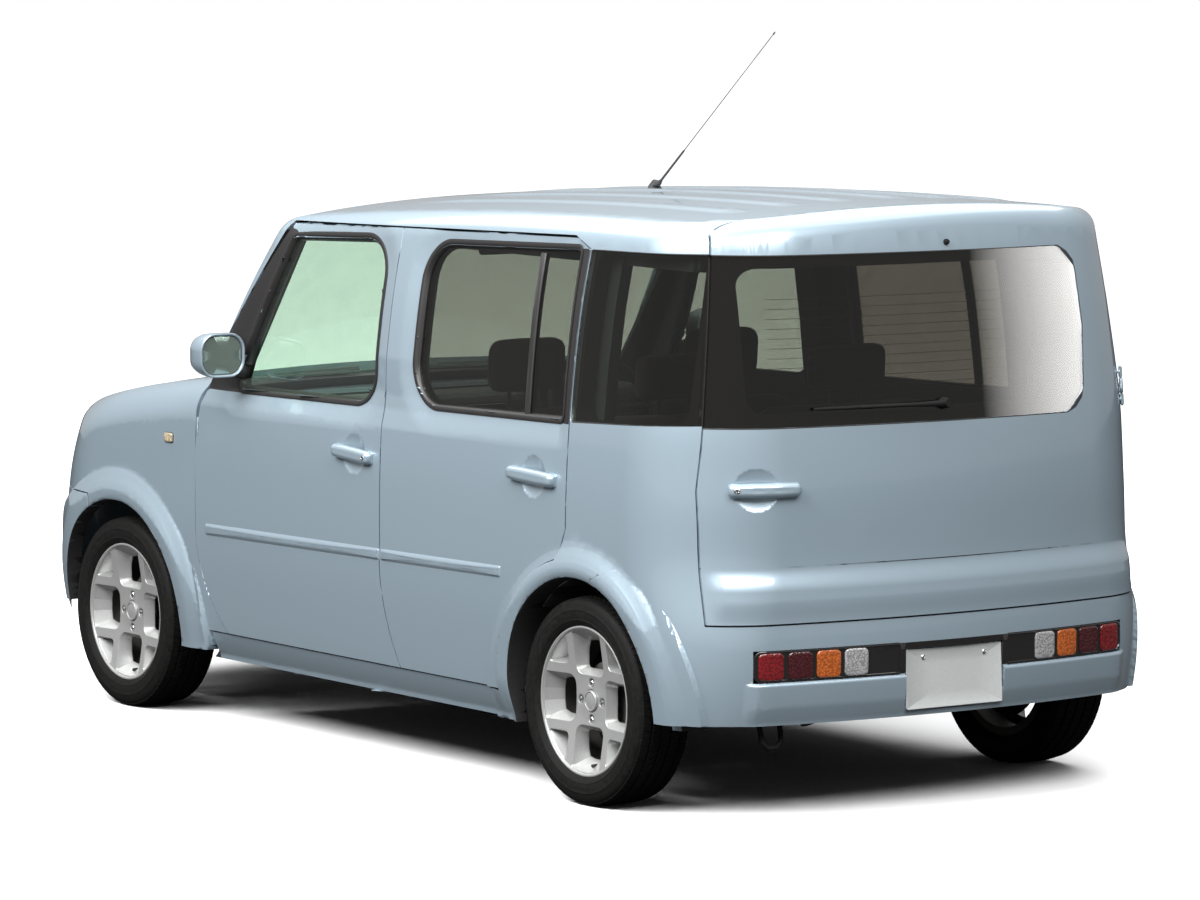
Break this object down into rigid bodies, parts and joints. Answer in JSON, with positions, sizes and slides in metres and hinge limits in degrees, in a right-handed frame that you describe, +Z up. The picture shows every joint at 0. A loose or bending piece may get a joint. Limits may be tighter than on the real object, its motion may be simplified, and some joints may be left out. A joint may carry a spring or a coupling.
{
  "type": "compact car",
  "caption": "Tall compact car with front and rear side doors, a side-hinged back door, a bonnet, steered front wheels and a hollow cabin.",
  "frame": {"origin": "on the ground, under the middle of the length and width", "axes": "+Z up, the front faces -Y, the car's left side is +X"},
  "size_m": [1.9258, 3.7268, 2.0892],
  "materials": {
    "body_paint": "glossy metallic, pale silvery blue",
    "black_plastic": "satin black",
    "bare_steel": "dull, road stained",
    "privacy_glass": "dark privacy tint",
    "clear_glass": "clear with a green cast",
    "lamp_lens": "clear lamp cover",
    "lamp_red": "gloss red, amber and clear lenses in a black housing",
    "plate_white": "blank white",
    "cabin_plastic": "grained dark grey",
    "seat_cloth": "woven dark grey",
    "engine_alloy": "cast, dull",
    "tank_plastic": "moulded black",
    "wheel_rim_black": "grained black",
    "cast_iron_hub": "as cast",
    "tyre_rubber": "black rubber",
    "alloy": "painted silver"
  },
  "bodies": {
    "body": {"body_shell": "body_paint", "roof": "body_paint", "windscreen": "clear_glass", "cowl": "black_plastic", "front_wipers": "black_plastic", "fender_left": "body_paint", "fender_right": "body_paint", "front_bumper": "body_paint", "grille": "black_plastic", "headlamps": "lamp_lens", "rear_bumper": "body_paint", "tail_lamps": "lamp_red", "number_plates": "plate_white", "quarter_glass": "privacy_glass", "dashboard": "cabin_plastic", "front_seats": "seat_cloth", "rear_seat": "seat_cloth", "interior_mirror": "black_plastic", "engine_block": "engine_alloy", "front_subframe": "bare_steel", "rear_axle": "bare_steel", "exhaust": "bare_steel", "fuel_tank": "tank_plastic", "aerial": "black_plastic"},
    "door_front_left_leaf": {"door_front_left": "body_paint", "glass_front_left": "clear_glass", "mirror_left": "body_paint"},
    "door_front_right_leaf": {"door_front_right": "body_paint", "glass_front_right": "clear_glass", "mirror_right": "body_paint"},
    "door_rear_left_leaf": {"door_rear_left": "body_paint", "glass_rear_left": "privacy_glass"},
    "door_rear_right_leaf": {"door_rear_right": "body_paint", "glass_rear_right": "privacy_glass"},
    "back_door_leaf": {"back_door": "body_paint", "rear_glass": "privacy_glass", "rear_wiper": "black_plastic"},
    "bonnet_lid": {"bonnet": "body_paint"},
    "fuel_flap": {"fuel_lid": "body_paint"},
    "hand_wheel": {"steering_wheel": "wheel_rim_black"},
    "upright_left": {"knuckle_left": "cast_iron_hub"},
    "upright_right": {"knuckle_right": "cast_iron_hub"},
    "wheel_front_left": {"tyre_front_left": "tyre_rubber", "rim_front_left": "alloy"},
    "wheel_front_right": {"tyre_front_right": "tyre_rubber", "rim_front_right": "alloy"},
    "wheel_rear_left": {"tyre_rear_left": "tyre_rubber", "rim_rear_left": "alloy"},
    "wheel_rear_right": {"tyre_rear_right": "tyre_rubber", "rim_rear_right": "alloy"}
  },
  "joints": [
    {"name": "door_front_left_hinge", "type": "hinge", "parent": "body", "child": "door_front_left_leaf", "pos_m": [0.817, -0.7365, 0.66], "axis": [0, 0, -1], "range_deg": [0, 65]},
    {"name": "door_front_right_hinge", "type": "hinge", "parent": "body", "child": "door_front_right_leaf", "pos_m": [-0.817, -0.7365, 0.66], "axis": [0, 0, 1], "range_deg": [0, 65]},
    {"name": "door_rear_left_hinge", "type": "hinge", "parent": "body", "child": "door_rear_left_leaf", "pos_m": [0.817, 0.2695, 0.66], "axis": [0, 0, -1], "range_deg": [0, 65]},
    {"name": "door_rear_right_hinge", "type": "hinge", "parent": "body", "child": "door_rear_right_leaf", "pos_m": [-0.817, 0.2695, 0.66], "axis": [0, 0, 1], "range_deg": [0, 65]},
    {"name": "back_door_hinge", "type": "hinge", "parent": "body", "child": "back_door_leaf", "pos_m": [-0.7221, 1.6827, 1.113], "axis": [0.0475, -0.0555, 0.9973], "range_deg": [0, 90]},
    {"name": "bonnet_hinge", "type": "hinge", "parent": "body", "child": "bonnet_lid", "pos_m": [0, -0.835, 1.002], "axis": [-1, 0, 0], "range_deg": [0, 50]},
    {"name": "fuel_flap_hinge", "type": "hinge", "parent": "body", "child": "fuel_flap", "pos_m": [-0.8193, 1.339, 0.86], "axis": [0, 0, 1], "range_deg": [0, 85]},
    {"name": "steer_left", "type": "hinge", "parent": "body", "child": "upright_left", "pos_m": [0.665, -1.185, 0.288], "axis": [0, 0, 1], "range_deg": [-35, 35]},
    {"name": "steer_right", "type": "hinge", "parent": "body", "child": "upright_right", "pos_m": [-0.665, -1.185, 0.288], "axis": [0, 0, 1], "range_deg": [-35, 35]},
    {"name": "hand_wheel_turn", "type": "hinge", "parent": "body", "child": "hand_wheel", "pos_m": [-0.35, -0.3297, 0.9052], "axis": [0, 0.9097, 0.4153], "range_deg": [-540, 540]},
    {"name": "wheel_front_left_spin", "type": "hinge", "parent": "upright_left", "child": "wheel_front_left", "pos_m": [0.725, -1.185, 0.288], "axis": [1, 0, 0], "continuous": true},
    {"name": "wheel_front_right_spin", "type": "hinge", "parent": "upright_right", "child": "wheel_front_right", "pos_m": [-0.725, -1.185, 0.288], "axis": [1, 0, 0], "continuous": true},
    {"name": "wheel_rear_left_spin", "type": "hinge", "parent": "body", "child": "wheel_rear_left", "pos_m": [0.725, 1.245, 0.288], "axis": [1, 0, 0], "continuous": true},
    {"name": "wheel_rear_right_spin", "type": "hinge", "parent": "body", "child": "wheel_rear_right", "pos_m": [-0.725, 1.245, 0.288], "axis": [1, 0, 0], "continuous": true}
  ],
  "couplings": [
    {"joint": "steer_right", "follows": "steer_left", "ratio": 1},
    {"joint": "hand_wheel_turn", "follows": "steer_left", "ratio": -15}
  ]
}
